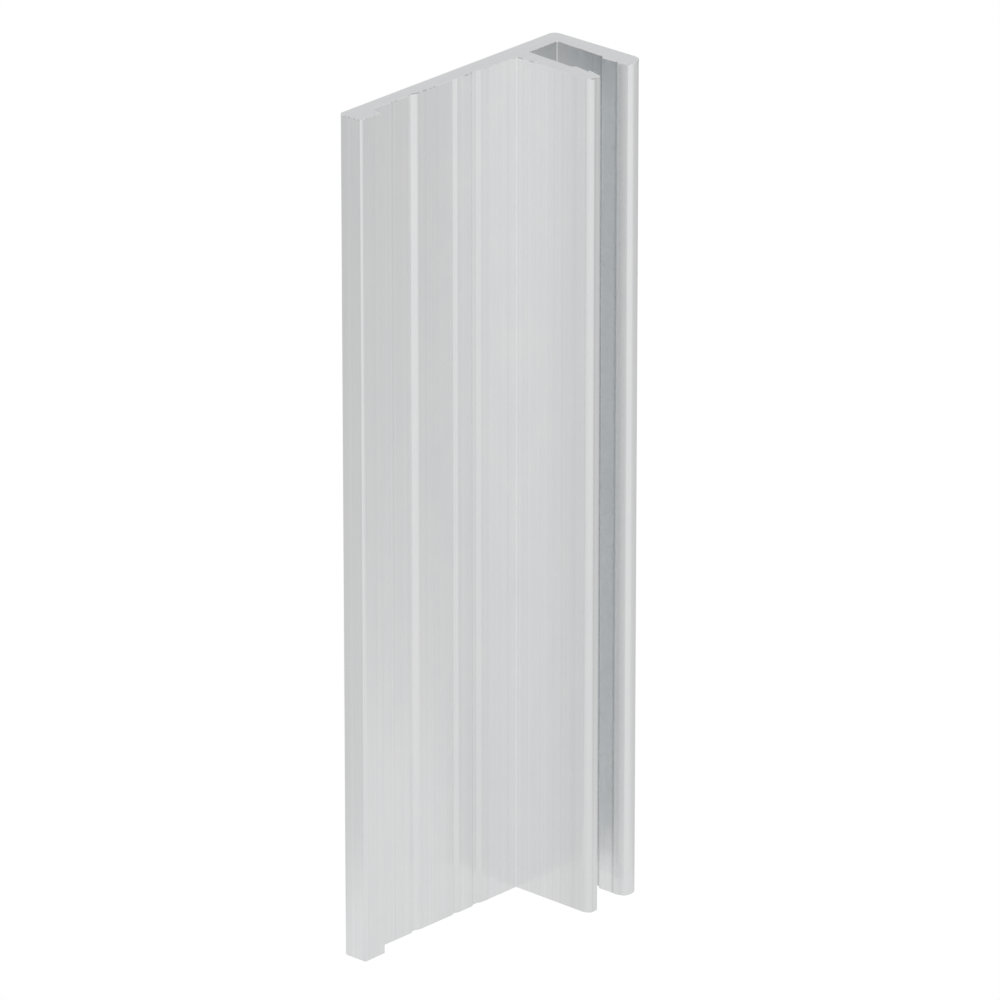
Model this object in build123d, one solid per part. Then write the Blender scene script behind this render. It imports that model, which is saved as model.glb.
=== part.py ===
from build123d import *
import math
import os

# A short sawn length of aluminium extrusion, standing on its sawn end.
# Its section is a wide plate with a thick foot along one edge and, along the other, a channel
# between two legs. Saw-tooth barbs inside the channel's mouth hold an insert that is pushed in.
# The front of the plate has three shallow grooves, which guide a drill.
# Millimetres. X runs along the plate from foot to channel, the legs point to -Y, and +Z is the
# direction of extrusion. The origin is at the middle of the section's box, on the lower cut.

# Driving dimensions: the whole length
profile_width = 70.0
leg_reach = 26.5
profile_length = 200.0

# Driving dimensions: plate and foot
plate_thickness_at_foot = 3.5
plate_thickness_at_legs = 4.6
foot_width = 6.5
foot_height = 6.5

# Driving dimensions: channel and legs, whose channel walls lean a little
channel_floor_width = 9.4
inner_leg_root_thickness = 4.1
inner_leg_tip_thickness = 2.7
outer_leg_root_thickness = 4.1
outer_leg_tip_thickness = 5.1
inner_nose_length = 2.05
inner_nose_width = 1.0
outer_end_radius = 3.1
outer_end_angle = 35.0
lead_in_bulge = 0.08
lead_in_break_share = 0.5

# Driving dimensions: barbs, measured from the leaning walls and from the tips of the legs
inner_grip_depth = 8.85
inner_barb_rise_length = 1.0
inner_barb_height = 0.84
inner_valley_height = 0.4
inner_catch_pitch = 4.8
inner_catch_height = 1.17
inner_lip_height = 0.35
outer_grip_depth = 8.2
outer_barb_rise_length = 0.7
outer_barb_height = 0.8
outer_valley_height = 0.45
outer_catch_pitch = 5.15
outer_catch_height = 0.7

# Driving dimensions: guide grooves in the front of the plate
coarse_groove_width = 2.9
coarse_groove_depth = 0.64
fine_groove_width = 2.0
fine_groove_depth = 0.43
flat_groove_width = 3.2
flat_groove_depth = 0.45
flat_groove_wall_run = 1.0
groove_place_shares = {"coarse": 0.281, "fine": 0.565, "flat": 0.715}

# Driving dimensions: rounded edges
foot_back_radius = 1.0
channel_back_radius = 1.8
foot_outer_radius = 0.45
foot_inner_radius = 0.3
root_radius = 0.3
lip_radius = 0.4
barb_radius = 0.4
catch_radius = 0.1

# Places along the section, from the foot's end
channel_wall_outer = profile_width - outer_leg_root_thickness
channel_wall_inner = channel_wall_outer - channel_floor_width
inner_leg_face = channel_wall_inner - inner_leg_root_thickness
inner_wall_at_tip = inner_leg_face + inner_leg_tip_thickness
outer_wall_at_tip = profile_width - outer_leg_tip_thickness
clear_front = inner_leg_face - foot_width

# The direction in which the legs point
forward_direction = (0, -1)


def at(along, forward):
    """A point of the section, from the foot's end and from the plate's back face."""
    return (along - profile_width / 2, leg_reach / 2 - forward)


def front_of_plate(share):
    """The point of the plate's sloping front face at a share of the way from foot to legs."""
    rise = plate_thickness_at_legs - plate_thickness_at_foot
    return foot_width + clear_front * share, plate_thickness_at_foot + rise * share


def outline(points):
    """A flat face inside a closed run of straight lines."""
    return make_face(Polyline(*points, close=True))


def barbs(root, tip, rises):
    """The corners of one leg's barbs, each at a height on its leaning wall and a depth in the channel."""
    lean = (tip - root) / (leg_reach - plate_thickness_at_legs)
    return [
        at(root + lean * (forward - plate_thickness_at_legs) + height, forward)
        for height, forward in rises
    ]


inner_grip = leg_reach - inner_grip_depth
inner_barbs = barbs(channel_wall_inner, inner_wall_at_tip, [
    (0, inner_grip),
    (inner_barb_height, inner_grip + inner_barb_rise_length),
    (inner_valley_height, inner_grip + inner_catch_pitch),
    (inner_catch_height, inner_grip + inner_catch_pitch),
])

outer_grip = leg_reach - outer_grip_depth
outer_barbs = barbs(channel_wall_outer, outer_wall_at_tip, [
    (0, outer_grip),
    (-outer_barb_height, outer_grip + outer_barb_rise_length),
    (-outer_valley_height, outer_grip + outer_catch_pitch),
    (-outer_catch_height, outer_grip + outer_catch_pitch),
])


def plate_and_foot():
    """The plate with its foot, and with the floor of the channel."""
    return outline([
        at(0, 0),
        at(profile_width, 0),
        at(profile_width, plate_thickness_at_legs),
        at(*front_of_plate(1)),
        at(*front_of_plate(0)),
        at(foot_width, foot_height),
        at(0, foot_height),
    ])


def inner_leg():
    """The leg that thins towards its tip, with barbs on its channel side and a rounded nose."""
    nose_start = at(inner_leg_face, leg_reach - inner_nose_length)
    nose_end = at(inner_leg_face + inner_nose_width, leg_reach)
    straight = Polyline(
        nose_start,
        at(inner_leg_face, 0),
        at(channel_wall_inner, 0),
        at(channel_wall_inner, plate_thickness_at_legs),
        *inner_barbs,
        at(inner_wall_at_tip + inner_lip_height, leg_reach),
        nose_end,
    )
    return make_face(straight + TangentArc(nose_start, nose_end, tangent=forward_direction))


def outer_leg():
    """The thick leg, with barbs on its channel side, a lead-in of two flats and a round end."""
    turn = math.radians(outer_end_angle)
    round_start = at(profile_width, leg_reach - outer_end_radius)
    lead_in_end = at(
        profile_width - outer_end_radius * (1 + math.sin(turn)),
        leg_reach - outer_end_radius * (1 - math.cos(turn)),
    )
    catch_x, catch_y = outer_barbs[-1]
    lead_in_break = (
        catch_x + (lead_in_end[0] - catch_x) * lead_in_break_share - lead_in_bulge,
        catch_y + (lead_in_end[1] - catch_y) * lead_in_break_share,
    )
    straight = Polyline(
        round_start,
        at(profile_width, 0),
        at(channel_wall_outer, 0),
        at(channel_wall_outer, plate_thickness_at_legs),
        *outer_barbs,
        lead_in_break,
        lead_in_end,
    )
    return make_face(straight + TangentArc(round_start, lead_in_end, tangent=forward_direction))


def pointed_groove(width, depth, share):
    """The cutter of a groove with two sloping walls."""
    along, forward = front_of_plate(share)
    return outline([
        at(along, forward - depth),
        at(along + width, forward + depth),
        at(along - width, forward + depth),
    ])


def flat_groove(share):
    """The cutter of the groove with a flat floor between its sloping walls."""
    along, forward = front_of_plate(share)
    floor = flat_groove_width / 2 - flat_groove_wall_run
    above = flat_groove_width / 2 + flat_groove_wall_run
    return outline([
        at(along - floor, forward - flat_groove_depth),
        at(along + floor, forward - flat_groove_depth),
        at(along + above, forward + flat_groove_depth),
        at(along - above, forward + flat_groove_depth),
    ])


def corner(shape, place):
    """The corner of a flat shape nearest to a place."""
    return min(shape.vertices(), key=lambda v: math.dist((v.X, v.Y), place))


def rounded(shape, rounds):
    """The shape with each listed corner rounded to its own radius."""
    for place, radius in rounds:
        shape = fillet(corner(shape, place), radius)
    return shape


def section():
    """The whole cross-section of the extrusion."""
    shape = rounded(plate_and_foot() + inner_leg() + outer_leg(), [
        (at(0, 0), foot_back_radius),
        (at(profile_width, 0), channel_back_radius),
        (at(0, foot_height), foot_outer_radius),
        (at(foot_width, foot_height), foot_inner_radius),
        (at(foot_width, plate_thickness_at_foot), root_radius),
        (at(inner_leg_face, plate_thickness_at_legs), root_radius),
        (at(channel_wall_inner, plate_thickness_at_legs), root_radius),
        (at(channel_wall_outer, plate_thickness_at_legs), root_radius),
        (at(inner_wall_at_tip + inner_lip_height, leg_reach), lip_radius),
        (inner_barbs[1], barb_radius),
        (outer_barbs[1], barb_radius),
        (inner_barbs[-1], catch_radius),
        (outer_barbs[-1], catch_radius),
    ])
    shape -= pointed_groove(coarse_groove_width, coarse_groove_depth, groove_place_shares["coarse"])
    shape -= pointed_groove(fine_groove_width, fine_groove_depth, groove_place_shares["fine"])
    shape -= flat_groove(groove_place_shares["flat"])
    return shape


extrusion_profile = extrude(section(), amount=profile_length)

os.makedirs("parts", exist_ok=True)
export_step(extrusion_profile, "parts/extrusion_profile.step")
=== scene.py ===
"""Looks of a short sawn length of aluminium extrusion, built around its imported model. Metres."""
import math

import bpy
import numpy as np
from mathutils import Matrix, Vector


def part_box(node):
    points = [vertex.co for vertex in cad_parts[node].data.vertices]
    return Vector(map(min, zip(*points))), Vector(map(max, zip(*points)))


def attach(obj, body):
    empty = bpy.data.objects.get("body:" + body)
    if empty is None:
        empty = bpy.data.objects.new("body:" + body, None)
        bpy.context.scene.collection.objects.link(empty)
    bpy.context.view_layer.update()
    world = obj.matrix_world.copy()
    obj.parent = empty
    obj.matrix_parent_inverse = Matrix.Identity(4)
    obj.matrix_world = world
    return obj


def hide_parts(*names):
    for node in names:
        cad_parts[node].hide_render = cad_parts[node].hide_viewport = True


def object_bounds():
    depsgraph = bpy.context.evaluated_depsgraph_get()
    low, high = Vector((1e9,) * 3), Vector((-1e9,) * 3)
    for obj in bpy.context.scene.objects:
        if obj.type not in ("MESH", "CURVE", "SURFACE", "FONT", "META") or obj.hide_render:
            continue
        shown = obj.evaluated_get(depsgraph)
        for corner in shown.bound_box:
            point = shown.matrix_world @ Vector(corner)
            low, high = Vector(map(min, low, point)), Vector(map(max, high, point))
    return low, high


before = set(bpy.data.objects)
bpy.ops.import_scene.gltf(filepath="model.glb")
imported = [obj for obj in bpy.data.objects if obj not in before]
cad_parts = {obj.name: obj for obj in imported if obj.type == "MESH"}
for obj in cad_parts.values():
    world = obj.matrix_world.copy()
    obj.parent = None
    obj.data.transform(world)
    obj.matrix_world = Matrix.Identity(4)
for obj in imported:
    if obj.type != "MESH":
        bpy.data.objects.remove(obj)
cad_low, cad_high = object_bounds()

MM = 0.001
NODE = "extrusion_profile"
SHADE = "shade"
SEED = 41
WHITE = (1, 1, 1, 1)

# Sockets of a Mix node that mixes colours
MIX_FIRST = 6
MIX_SECOND = 7
MIX_RESULT = 2

# Camera: the photograph's viewing angle
VIEW_AZIMUTH = math.radians(-48.04)
VIEW_ELEVATION = math.radians(22.42)
VIEW_DISTANCE = 2332 * MM
VIEW_AIM_RIGHT = 1.564 * MM
VIEW_AIM_UP = 2.346 * MM
PIXELS_PER_MM = 4.52
IMAGE_WIDTH = 1000
SENSOR_MM = 36.0
CLIP_END = 100.0

# Studio: what the metal mirrors. The camera sees floor and surroundings as plain white.
FLOOR_HALF = 6.0
FLOOR_RADIUS = 500 * MM
NEAR_LIGHT = 0.618
FAR_LIGHT = 0.562
FRONT_AZIMUTH = math.radians(-36)
FRONT_SPREAD = (0.16, 0.64)
FRONT_NEAR_LIGHT = 0.085
FRONT_FAR_LIGHT = 0.185
FRONT_CENTRE = (18 * MM, 24 * MM, 0)
SKY_LIGHT = 0.70
MIRROR_BOUNCES = 24

# Outline of the section
POINT_SPACING = 0.15 * MM
CORNER_TURN = math.radians(28)
UPRIGHT_LIMIT = 0.5
LEVEL_SLACK = 0.04 * MM
KEY_DIGITS = 4

# Lines that the die leaves along the extrusion
DIE_LINE_DEPTH = 0.0008 * MM
DIE_LINE_WIDTHS = (0.3 * MM, 0.9 * MM, 2.5 * MM)
DIE_LINE_SHARES = (0.5, 0.3, 0.2)
RINGS_ALONG = 10
STEADY_SHARE = 0.75
STREAK_DEPTH = 0.045

# Painted light along the extrusion: thin lines of painted shade in creases and under edges, painted
# highlights on corners and rounds, and broad bands of painted light and shade. X and Y on the
# section, half width, and share of the skin's brightness
PAINTED_LIGHT_LINES = (
    (30.10 * MM, -5.05 * MM, 0.45 * MM, 0.52),
    (29.58 * MM, -9.80 * MM, 0.30 * MM, 0.80),
    (20.80 * MM, -4.30 * MM, 0.45 * MM, 0.68),
    (20.65 * MM, -9.10 * MM, 0.30 * MM, 0.80),
    (17.33 * MM, 8.55 * MM, 0.20 * MM, 1.04),
    (18.85 * MM, -13.25 * MM, 0.20 * MM, 0.93),
    (29.72 * MM, -11.65 * MM, 0.15 * MM, 0.94),
    (29.90 * MM, -12.10 * MM, 0.15 * MM, 0.95),
    (34.20 * MM, -12.25 * MM, 0.7 * MM, 0.86),
    (31.60 * MM, -13.15 * MM, 2.0 * MM, 1.035),
    (29.60 * MM, -11.30 * MM, 1.1 * MM, 0.955),
    (-35.00 * MM, 10.00 * MM, 3.0 * MM, 1.02),
    (-14.90 * MM, 9.75 * MM, 0.7 * MM, 1.035),
    (-2.07 * MM, 9.35 * MM, 0.5 * MM, 1.02),
    (18.20 * MM, -12.60 * MM, 1.2 * MM, 1.04),
    (17.40 * MM, -9.50 * MM, 7.0 * MM, 0.935),
    (1.00 * MM, 9.40 * MM, 8.0 * MM, 0.985),
)

# The channel's chamber, darkened by painted shade near the cuts except in its corner, where it stays
# bright: X and Y of its box and corner
CHAMBER_LOW = (21.0 * MM, -4.6 * MM)
CHAMBER_HIGH = (31.2 * MM, 8.8 * MM)
CHAMBER_CORNER = (30.85 * MM, 8.60 * MM)
CORNER_REACH = 0.30 * MM
CHAMBER_SHADE_DEPTH = 20 * MM
CHAMBER_SHADE_SHARE = 0.86
LOWER_CHAMBER_SHADE_SHARE = 0.5

# Sawn ends
EDGE_BREAK = 0.04 * MM
BURR_HEIGHT = 0.40 * MM
BURR_LIP = 0.05 * MM
BURR_REACH = 0.06 * MM
BURR_WIDTHS = (0.5 * MM, 2.0 * MM)
# Share of the skin's brightness left by the painted shadow under the upper burr where it is torn
# furthest
BURR_SHADE_SHARE = 0.60
LOWER_BURR_SHARE = 0.5

# Metal
NOISE_SPAN = (0.3, 0.7)
NOISE_GRAIN_SHARE = 0.75
LINE_DETAIL = 2
SKIN_COLOURS = ((0.928, 0.942, 0.954, 1), (0.968, 0.968, 0.965, 1))
SKIN_ROUGHNESSES = (0.17, 0.25)
SKIN_ANISOTROPY = 0.7
STREAK_SCALE = 900
STREAK_STRETCH_SHARE = 0.002
MOTTLE_SCALE = 160
MOTTLE_STRETCH_SHARE = 0.4
MOTTLE_DETAIL = 8
SAWN_COLOURS = ((0.835, 0.852, 0.868, 1), (0.905, 0.912, 0.918, 1))
SAWN_ROUGHNESSES = (0.36, 0.48)
SAW_LINE_SCALE = 1500
SAW_LINE_STRETCH_SHARE = 0.12


def section_loop(node):
    """The section's outline along the lower cut, in order, with the metal on its left."""
    mesh = node.data
    low = min(v.co.z for v in mesh.vertices)
    following = {}
    place = {}
    for face in mesh.polygons:
        if abs(face.normal.z) > UPRIGHT_LIMIT:
            continue
        ring = [mesh.vertices[i].co for i in face.vertices]
        for a, b in zip(ring, ring[1:] + ring[:1]):
            if max(a.z, b.z) - low < LEVEL_SLACK:
                start, end = (tuple(round(c / MM, KEY_DIGITS) for c in p.xy) for p in (a, b))
                following[start] = end
                place[start] = a.xy
    at = next(iter(following))
    loop = []
    while at not in loop:
        loop.append(at)
        at = following[at]
    return np.array([place[key] for key in loop])


def resampled(loop):
    """The outline with points added along its straight runs, and a mark on each sharp corner."""
    points = []
    corner = []
    before = np.roll(loop, 1, axis=0)
    after = np.roll(loop, -1, axis=0)
    for last, here, following in zip(before, loop, after):
        turn = math.atan2(*(here - last)) - math.atan2(*(following - here))
        turn = (turn + math.pi) % math.tau - math.pi
        steps = max(1, round(math.dist(here, following) / POINT_SPACING))
        for i in range(steps):
            points.append(here + (following - here) * i / steps)
            corner.append(i == 0 and abs(turn) > CORNER_TURN)
    return np.array(points), np.array(corner)


def outward(points):
    """The outward direction at each point of the outline."""
    along = np.roll(points, -1, axis=0) - np.roll(points, 1, axis=0)
    across = np.stack([along[:, 1], -along[:, 0]], axis=1)
    return across / np.linalg.norm(across, axis=1, keepdims=True)


def smooth_noise(rng, count, width):
    """Random values along the closed outline, smoothed over a width, mostly from -1 to 1."""
    span = max(1, round(width / POINT_SPACING))
    kernel = np.hanning(2 * span + 1)
    raw = rng.standard_normal(count)
    wrapped = np.concatenate([raw[-span:], raw, raw[:span]])
    smooth = np.convolve(wrapped, kernel, mode="valid")
    return smooth / (2 * smooth.std())


def burr(rng, count):
    """How far the saw has torn the edge at each point of the outline, from 0 to 1."""
    ragged = sum(smooth_noise(rng, count, width) for width in BURR_WIDTHS)
    return np.clip(ragged, 0, 1)


def painted_light_lines(points):
    """The painted shade and highlights that the lines and bands leave at each point of the outline.
    """
    steps = np.linalg.norm(np.roll(points, -1, axis=0) - points, axis=1)
    along = np.cumsum(steps)
    shade = np.ones(len(points))
    for x, y, half_width, share in PAINTED_LIGHT_LINES:
        nearest = np.argmin(np.linalg.norm(points - np.array((x, y)), axis=1))
        away = np.abs(along - along[nearest])
        away = np.minimum(away, along[-1] - away)
        shade *= 1 + (share - 1) * np.exp(-(away / half_width) ** 2)
    return shade


def chamber_painted_shade(points):
    """The brightness at each point of the outline on the upper cut: painted shade in the channel's
    chamber.
    """
    inside = np.all((points > CHAMBER_LOW) & (points < CHAMBER_HIGH), axis=1)
    at_corner = np.linalg.norm(points - np.array(CHAMBER_CORNER), axis=1) < CORNER_REACH
    return np.where(inside & ~at_corner, CHAMBER_SHADE_SHARE, 1)


def sawn_rings(points):
    """The outline at each height from cut to cut, with die lines and burrs, and its brightness:
    die-line streaks times painted shade and highlights.
    """
    rng = np.random.default_rng(SEED)
    count = len(points)
    lines = sum(
        share * smooth_noise(rng, count, width)
        for share, width in zip(DIE_LINE_SHARES, DIE_LINE_WIDTHS)
    )
    upper_burr = burr(rng, count)
    lower_burr = burr(rng, count) * LOWER_BURR_SHARE
    normal = outward(points)
    # Painted shade and highlights of the listed lines and bands, the same at every height
    painted_light = painted_light_lines(points)
    chamber_shade = 1 - chamber_painted_shade(points)
    low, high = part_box(NODE)
    rings = []
    shades = []

    def ring(height, proud, shade):
        flat = points + normal * np.broadcast_to(proud, count)[:, None]
        rings.append(np.column_stack([flat, np.broadcast_to(height, count)]))
        # Painted shade in the chamber: deepest at the upper cut, half as deep at the lower cut,
        # fading away from the cuts
        near_upper = 1 - (high.z - height) / CHAMBER_SHADE_DEPTH
        near_lower = 1 - (height - low.z) / CHAMBER_SHADE_DEPTH
        near_cut = max(0, near_upper, near_lower * LOWER_CHAMBER_SHADE_SHARE)
        # Brightness of each ring: die-line streaks and burr shadow, times painted shade and
        # highlights, times painted shade in the chamber
        shades.append(painted_light * shade * (1 - chamber_shade * near_cut))

    streaks = 1 + STREAK_DEPTH * lines
    # Painted shadow under the upper burr: darker where the saw has torn the edge further
    burr_shadow = 1 - (1 - BURR_SHADE_SHARE) * upper_burr
    wall_low = low.z + BURR_HEIGHT
    wall_high = high.z - BURR_HEIGHT
    ring(low.z, -EDGE_BREAK, streaks)
    ring(low.z + BURR_LIP, BURR_REACH * lower_burr, streaks)
    ring(wall_low, 0, streaks)
    for i in range(1, RINGS_ALONG):
        fade = STEADY_SHARE + (1 - STEADY_SHARE) * smooth_noise(rng, count, DIE_LINE_WIDTHS[-1])
        height = wall_low + (wall_high - wall_low) * i / RINGS_ALONG
        ring(height, DIE_LINE_DEPTH * lines * fade, 1 + STREAK_DEPTH * lines * fade)
    ring(wall_high, 0, streaks)
    ring(high.z - BURR_LIP, BURR_REACH * upper_burr, burr_shadow)
    ring(high.z, -EDGE_BREAK, burr_shadow)
    return rings, shades


def ring_faces(count, last):
    """The faces over rings of points: the lower cut, the walls from ring to ring, the upper cut."""
    faces = [tuple(reversed(range(count)))]
    for base in range(0, last * count, count):
        for i in range(count):
            j = (i + 1) % count
            faces.append((base + i, base + j, base + count + j, base + count + i))
    faces.append(tuple(range(last * count, (last + 1) * count)))
    return faces


def mark_sharp(mesh, corner, last):
    """Sharp edges around both cuts and along the sharp corners of the section."""
    for edge in mesh.edges:
        (ring_a, i), (ring_b, j) = (divmod(v, len(corner)) for v in edge.vertices)
        on_cut = ring_a == ring_b and ring_a in (0, last)
        edge.use_edge_sharp = on_cut or (i == j and bool(corner[i]))


def sawn_profile():
    """The extrusion with its die lines, and with a broken edge and a ragged burr at each cut."""
    points, corner = resampled(section_loop(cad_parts[NODE]))
    rings, shades = sawn_rings(points)
    last = len(rings) - 1
    mesh = bpy.data.meshes.new("sawn_profile")
    mesh.from_pydata(np.concatenate(rings).tolist(), [], ring_faces(len(points), last))
    mesh.shade_smooth()
    # Brightness per point: die-line streaks with painted shade, painted highlights and painted shadow
    # under the burr
    shade = mesh.attributes.new(SHADE, "FLOAT", "POINT")
    shade.data.foreach_set("value", np.concatenate(shades).astype(np.float32))
    mark_sharp(mesh, corner, last)
    mesh.materials.append(mill_aluminium())
    mesh.materials.append(sawn_aluminium())
    for cut in (mesh.polygons[0], mesh.polygons[-1]):
        cut.material_index = 1
    piece = bpy.data.objects.new("sawn_profile", mesh)
    bpy.context.scene.collection.objects.link(piece)
    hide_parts(NODE)
    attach(piece, "root")


def add(tree, kind, inputs, **settings):
    """A new node with its settings, and with a value or a link on each named input."""
    node = tree.nodes.new(kind)
    for name, value in settings.items():
        setattr(node, name, value)
    for key, value in inputs.items():
        if isinstance(value, bpy.types.NodeSocket):
            tree.links.new(value, node.inputs[key])
        else:
            node.inputs[key].default_value = value
    return node


def metal(name):
    """A new metal material, its node tree and its shader."""
    material = bpy.data.materials.new(name)
    material.use_nodes = True
    shader = material.node_tree.nodes["Principled BSDF"]
    shader.inputs["Metallic"].default_value = 1.0
    return material, material.node_tree, shader


def noise(tree, stretch, scale, detail):
    """Cloudy noise in the piece's own place, stretched along each axis and spread over 0 to 1."""
    place = add(tree, "ShaderNodeTexCoord", {}).outputs["Object"]
    stretched = add(tree, "ShaderNodeMapping", {"Vector": place, "Scale": stretch})
    cloud = add(tree, "ShaderNodeTexNoise", {
        "Vector": stretched.outputs[0], "Scale": scale, "Detail": detail,
        "Roughness": NOISE_GRAIN_SHARE,
    })
    return add(tree, "ShaderNodeMapRange", {
        "Value": cloud.outputs["Fac"], "From Min": NOISE_SPAN[0], "From Max": NOISE_SPAN[1],
    }).outputs[0]


def between(tree, value, ends, reach=1):
    """A number that runs between two ends while a value runs from zero to its reach."""
    return add(tree, "ShaderNodeMapRange", {
        "Value": value, "From Max": reach, "To Min": ends[0], "To Max": ends[1],
    }).outputs[0]


def mixed(tree, factor, colours, **settings):
    """A colour mixed from two colours."""
    return add(tree, "ShaderNodeMix", {
        "Factor": factor, MIX_FIRST: colours[0], MIX_SECOND: colours[1],
    }, data_type="RGBA", **settings).outputs[MIX_RESULT]


def mill_aluminium():
    """Satin metal as it leaves the die: faintly clouded, with fine lines along the extrusion, its
    colour multiplied by a brightness attribute that holds painted shade and highlights.
    """
    material, tree, shader = metal("mill_aluminium")
    streaks = noise(tree, (1, 1, STREAK_STRETCH_SHARE), STREAK_SCALE, LINE_DETAIL)
    mottle = noise(tree, (1, 1, MOTTLE_STRETCH_SHARE), MOTTLE_SCALE, MOTTLE_DETAIL)
    tint = mixed(tree, mottle, SKIN_COLOURS)
    # The brightness attribute, with its painted shade and highlights, darkens or lightens the skin's
    # colour
    shade = add(tree, "ShaderNodeAttribute", {}, attribute_name=SHADE).outputs["Color"]
    colour = mixed(tree, 1, (tint, shade), blend_type="MULTIPLY", clamp_result=True)
    normal = add(tree, "ShaderNodeNewGeometry", {}).outputs["Normal"]
    across = add(tree, "ShaderNodeVectorMath", {0: (0, 0, 1), 1: normal}, operation="CROSS_PRODUCT")
    shader.inputs["Anisotropic"].default_value = SKIN_ANISOTROPY
    tree.links.new(colour, shader.inputs["Base Color"])
    tree.links.new(between(tree, streaks, SKIN_ROUGHNESSES), shader.inputs["Roughness"])
    tree.links.new(across.outputs[0], shader.inputs["Tangent"])
    return material


def sawn_aluminium():
    """The duller metal of the sawn ends, with faint lines along the path of the saw."""
    material, tree, shader = metal("sawn_aluminium")
    lines = noise(tree, (SAW_LINE_STRETCH_SHARE, 1, 1), SAW_LINE_SCALE, LINE_DETAIL)
    tree.links.new(mixed(tree, lines, SAWN_COLOURS), shader.inputs["Base Color"])
    tree.links.new(between(tree, lines, SAWN_ROUGHNESSES), shader.inputs["Roughness"])
    return material


def level_direction(azimuth):
    """The level direction from the object at an azimuth, where zero looks at the plate's front."""
    return Vector((math.sin(azimuth), -math.cos(azimuth), 0))


def white_to_camera(tree, kind, light, out):
    """Plain white where the camera looks at it, and the given light where the metal mirrors it."""
    seen = add(tree, kind, {"Color": WHITE, "Strength": 1})
    mirrored = add(tree, kind, {"Color": WHITE, "Strength": light})
    ray = add(tree, "ShaderNodeLightPath", {}).outputs["Is Camera Ray"]
    mix = add(tree, "ShaderNodeMixShader", {0: ray, 1: mirrored.outputs[0], 2: seen.outputs[0]})
    tree.links.new(mix.outputs[0], tree.nodes[out].inputs["Surface"])


def floor_light(tree):
    """The light of the floor, which is a little brighter in front of the object than beside it."""
    place = add(tree, "ShaderNodeTexCoord", {}).outputs["Object"]
    away = add(tree, "ShaderNodeVectorMath", {0: place}, operation="LENGTH").outputs["Value"]
    base = between(tree, away, (NEAR_LIGHT, FAR_LIGHT), FLOOR_RADIUS)
    front_most = between(tree, away, (FRONT_NEAR_LIGHT, FRONT_FAR_LIGHT), FLOOR_RADIUS)
    offset = add(tree, "ShaderNodeVectorMath", {0: place, 1: FRONT_CENTRE}, operation="SUBTRACT")
    side = add(tree, "ShaderNodeVectorMath", {0: offset.outputs[0]}, operation="NORMALIZE")
    turned = add(tree, "ShaderNodeVectorMath", {
        0: side.outputs[0], 1: level_direction(FRONT_AZIMUTH),
    }, operation="DOT_PRODUCT")
    front = add(tree, "ShaderNodeMapRange", {
        "Value": turned.outputs["Value"], "From Min": FRONT_SPREAD[0], "From Max": FRONT_SPREAD[1],
        "To Max": front_most,
    }, interpolation_type="SMOOTHSTEP")
    return add(tree, "ShaderNodeMath", {0: base, 1: front.outputs[0]}).outputs[0]


def studio():
    """A plain pale floor in white surroundings."""
    scene = bpy.context.scene
    scene.view_settings.view_transform = "Standard"
    scene.cycles.max_bounces = MIRROR_BOUNCES
    scene.cycles.glossy_bounces = MIRROR_BOUNCES
    scene.cycles.blur_glossy = 0
    scene.world = bpy.data.worlds.new("surroundings")
    scene.world.use_nodes = True
    white_to_camera(scene.world.node_tree, "ShaderNodeBackground", SKY_LIGHT, "World Output")
    material = bpy.data.materials.new("pale_floor")
    material.use_nodes = True
    tree = material.node_tree
    white_to_camera(tree, "ShaderNodeEmission", floor_light(tree), "Material Output")
    half = FLOOR_HALF
    corners = [(-half, -half, 0), (half, -half, 0), (half, half, 0), (-half, half, 0)]
    mesh = bpy.data.meshes.new("floor")
    mesh.from_pydata(corners, [], [(0, 1, 2, 3)])
    mesh.materials.append(material)
    floor = bpy.data.objects.new("floor", mesh)
    scene.collection.objects.link(floor)


def camera():
    """The camera at the photograph's viewing angle, with no shift."""
    level = level_direction(VIEW_AZIMUTH)
    back = level * math.cos(VIEW_ELEVATION) + Vector((0, 0, math.sin(VIEW_ELEVATION)))
    right = Vector((-level.y, level.x, 0))
    aim = (cad_low + cad_high) / 2 + right * VIEW_AIM_RIGHT + back.cross(right) * VIEW_AIM_UP
    data = bpy.data.cameras.new("camera")
    data.sensor_width = SENSOR_MM
    data.lens = SENSOR_MM * PIXELS_PER_MM * VIEW_DISTANCE / MM / IMAGE_WIDTH
    data.clip_end = CLIP_END
    holder = bpy.data.objects.new("camera", data)
    holder.location = aim + back * VIEW_DISTANCE
    holder.rotation_mode = "QUATERNION"
    holder.rotation_quaternion = back.to_track_quat("Z", "Y")
    bpy.context.scene.collection.objects.link(holder)
    bpy.context.scene.camera = holder


sawn_profile()
studio()
camera()
